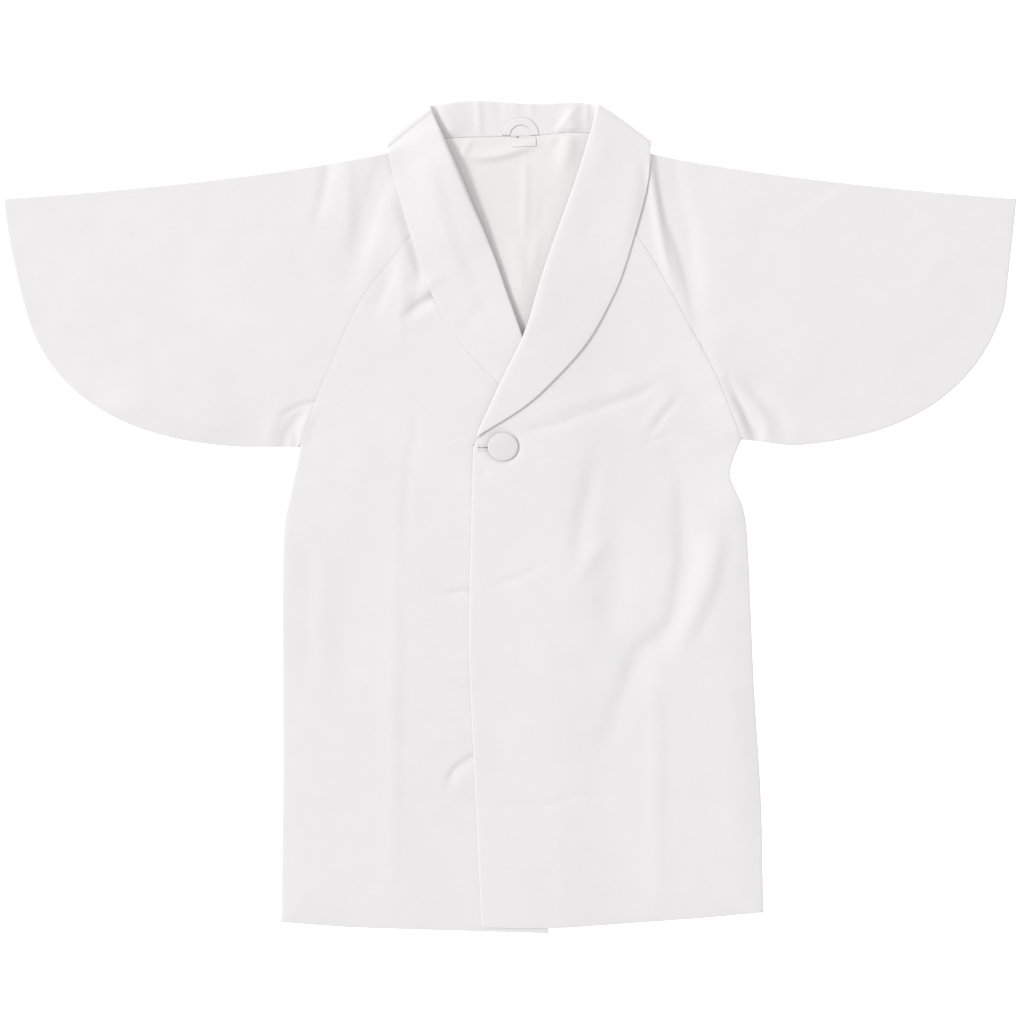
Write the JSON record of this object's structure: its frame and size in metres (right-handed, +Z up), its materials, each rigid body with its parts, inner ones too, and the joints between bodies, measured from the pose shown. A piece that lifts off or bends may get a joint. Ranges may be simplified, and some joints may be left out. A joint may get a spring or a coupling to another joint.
{
  "type": "kimono coat",
  "caption": "Child's kimono coat laid flat, front up, with raglan sleeves, a shawl collar and a covered button at the waist.",
  "frame": {"origin": "middle of the coat's box, on the surface that it lies on", "axes": "+X to the wearer's left, from one cuff to the other; +Y from the hem to the neck; +Z up, out of the front"},
  "size_m": [0.94, 0.7732, 0.0126],
  "materials": {
    "shell_cloth": "matte",
    "lining_cloth": "matte",
    "loop_cloth": "matte",
    "label_tape": "satin",
    "button_cover": "matte"
  },
  "bodies": {
    "root": {"back": "shell_cloth", "back_lining": "lining_cloth", "front_right": "shell_cloth", "front_left": "shell_cloth", "sleeve_right_back": "shell_cloth", "sleeve_right_front": "shell_cloth", "sleeve_left_back": "shell_cloth", "sleeve_left_front": "shell_cloth", "collar": "shell_cloth", "hanger_loop": "loop_cloth", "size_label": "label_tape", "button": "button_cover"}
  },
  "joints": []
}
